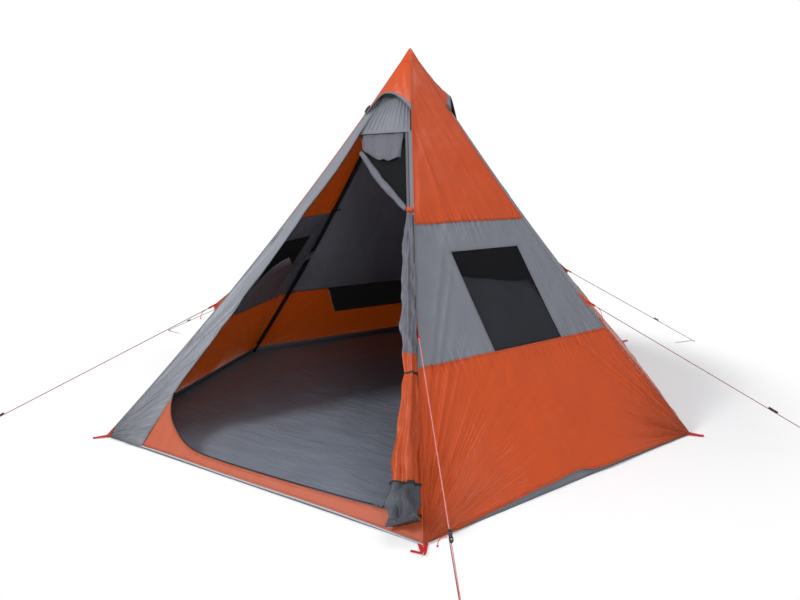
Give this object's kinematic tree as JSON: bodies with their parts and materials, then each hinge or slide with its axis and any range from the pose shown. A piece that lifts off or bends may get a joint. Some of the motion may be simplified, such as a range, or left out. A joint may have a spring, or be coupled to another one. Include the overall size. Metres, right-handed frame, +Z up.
{
  "type": "pyramid tent",
  "caption": "Pyramid tent on a hexagonal floor with an open doorway, its door rolled aside, mesh windows, hooded peak vents, a pole frame and pegged guy lines.",
  "frame": {"origin": "middle of the tent's plan on the ground, guy lines and pegs left out", "axes": "+Z up, the doorway faces -Y, +X to the right of someone who faces the same way as the tent's back wall"},
  "size_m": [5.4126, 4.7688, 2.1889],
  "materials": {
    "orange_cloth": "coated polyester weave",
    "grey_cloth": "coated polyester weave",
    "pale_grey_cloth": "coated polyester weave",
    "floor_cloth": "woven sheet, low sheen",
    "dark_mesh": "fine insect mesh",
    "steel_tube": "satin dark coat",
    "black_plastic": "matte",
    "flecked_cord": "braided",
    "bright_wire": "bright wire"
  },
  "bodies": {
    "tent": {"back_left_hood": "orange_cloth", "back_left_lower_band": "orange_cloth", "back_left_panel": "grey_cloth", "back_left_vent_mesh": "dark_mesh", "back_right_hood": "orange_cloth", "back_right_lower_band": "orange_cloth", "back_right_panel": "grey_cloth", "door_crown": "pale_grey_cloth", "door_header_flap": "grey_cloth", "door_hood": "orange_cloth", "door_left_strip": "pale_grey_cloth", "door_right_strip": "pale_grey_cloth", "door_roll": "pale_grey_cloth", "door_sill": "orange_cloth", "door_tie": "black_plastic", "groundsheet": "floor_cloth", "guy_line_back_right": "flecked_cord", "guy_line_front_left": "flecked_cord", "guy_line_front_right": "flecked_cord", "guy_line_side_left": "flecked_cord", "guy_line_side_right": "flecked_cord", "guy_tab_back_left": "orange_cloth", "guy_tab_back_right": "orange_cloth", "guy_tab_front_left": "orange_cloth", "guy_tab_front_right": "orange_cloth", "guy_tab_side_left": "orange_cloth", "guy_tab_side_right": "orange_cloth", "hub": "black_plastic", "left_lower_band": "orange_cloth", "left_middle_panel": "grey_cloth", "left_upper_panel": "orange_cloth", "left_window_mesh": "dark_mesh", "mesh_door": "dark_mesh", "peak_cap": "orange_cloth", "pole_back_left": "steel_tube", "pole_back_right": "steel_tube", "pole_front_left": "steel_tube", "pole_front_right": "steel_tube", "pole_side_left": "steel_tube", "pole_side_right": "steel_tube", "rear_lower_band": "orange_cloth", "rear_middle_panel": "grey_cloth", "rear_upper_panel": "orange_cloth", "right_lower_band": "orange_cloth", "right_middle_panel": "grey_cloth", "right_upper_panel": "orange_cloth", "right_window_mesh": "dark_mesh"},
    "right_window_cover_body": {"right_window_cover": "grey_cloth"},
    "left_window_cover_body": {"left_window_cover": "grey_cloth"},
    "door_zip_slider_body": {"door_zip_slider": "black_plastic"},
    "adjuster_front_right_body": {"adjuster_front_right": "black_plastic"},
    "adjuster_side_right_body": {"adjuster_side_right": "black_plastic"},
    "adjuster_back_right_body": {"adjuster_back_right": "black_plastic"},
    "adjuster_side_left_body": {"adjuster_side_left": "black_plastic"},
    "adjuster_front_left_body": {"adjuster_front_left": "black_plastic"},
    "peg_front_right_body": {"peg_front_right": "bright_wire"},
    "peg_side_right_body": {"peg_side_right": "bright_wire"},
    "peg_back_right_body": {"peg_back_right": "bright_wire"},
    "peg_side_left_body": {"peg_side_left": "bright_wire"},
    "peg_front_left_body": {"peg_front_left": "bright_wire"}
  },
  "joints": [
    {"name": "right_cover_fold", "type": "hinge", "parent": "tent", "child": "right_window_cover_body", "pos_m": [0.9992, -0.70462, 0.55137], "axis": [-0.3546, -0.935, 0], "range_deg": [0, 100]},
    {"name": "left_cover_fold", "type": "hinge", "parent": "tent", "child": "left_window_cover_body", "pos_m": [-0.9992, -0.70462, 0.55137], "axis": [-0.3546, 0.935, 0], "range_deg": [0, 100]},
    {"name": "zip_slide", "type": "slide", "parent": "tent", "child": "door_zip_slider_body", "axis": [-0.9993, -0.0236, -0.0285], "range_m": [0, 0.64]},
    {"name": "adjuster_slide_front_right", "type": "slide", "parent": "tent", "child": "adjuster_front_right_body", "axis": [0.5615, -0.7308, -0.3881], "range_m": [-0.4, 0.15]},
    {"name": "adjuster_slide_side_right", "type": "slide", "parent": "tent", "child": "adjuster_side_right_body", "axis": [0.882, 0.0863, -0.4632], "range_m": [-0.4, 0.15]},
    {"name": "adjuster_slide_back_right", "type": "slide", "parent": "tent", "child": "adjuster_back_right_body", "axis": [0.5249, 0.711, -0.468], "range_m": [-0.4, 0.15]},
    {"name": "adjuster_slide_side_left", "type": "slide", "parent": "tent", "child": "adjuster_side_left_body", "axis": [-0.9302, 0.1023, -0.3524], "range_m": [-0.4, 0.15]},
    {"name": "adjuster_slide_front_left", "type": "slide", "parent": "tent", "child": "adjuster_front_left_body", "axis": [-0.5043, -0.7628, -0.4048], "range_m": [-0.4, 0.15]},
    {"name": "peg_pull_front_right", "type": "slide", "parent": "tent", "child": "peg_front_right_body", "axis": [0.6093, -0.793, 0], "range_m": [0, 0.1]},
    {"name": "peg_pull_side_right", "type": "slide", "parent": "tent", "child": "peg_side_right_body", "axis": [0.9953, 0.0973, 0], "range_m": [0, 0.1]},
    {"name": "peg_pull_back_right", "type": "slide", "parent": "tent", "child": "peg_back_right_body", "axis": [0.5939, 0.8045, 0], "range_m": [0, 0.1]},
    {"name": "peg_pull_side_left", "type": "slide", "parent": "tent", "child": "peg_side_left_body", "axis": [-0.994, 0.1093, 0], "range_m": [0, 0.1]},
    {"name": "peg_pull_front_left", "type": "slide", "parent": "tent", "child": "peg_front_left_body", "axis": [-0.5515, -0.8342, 0], "range_m": [0, 0.1]}
  ]
}
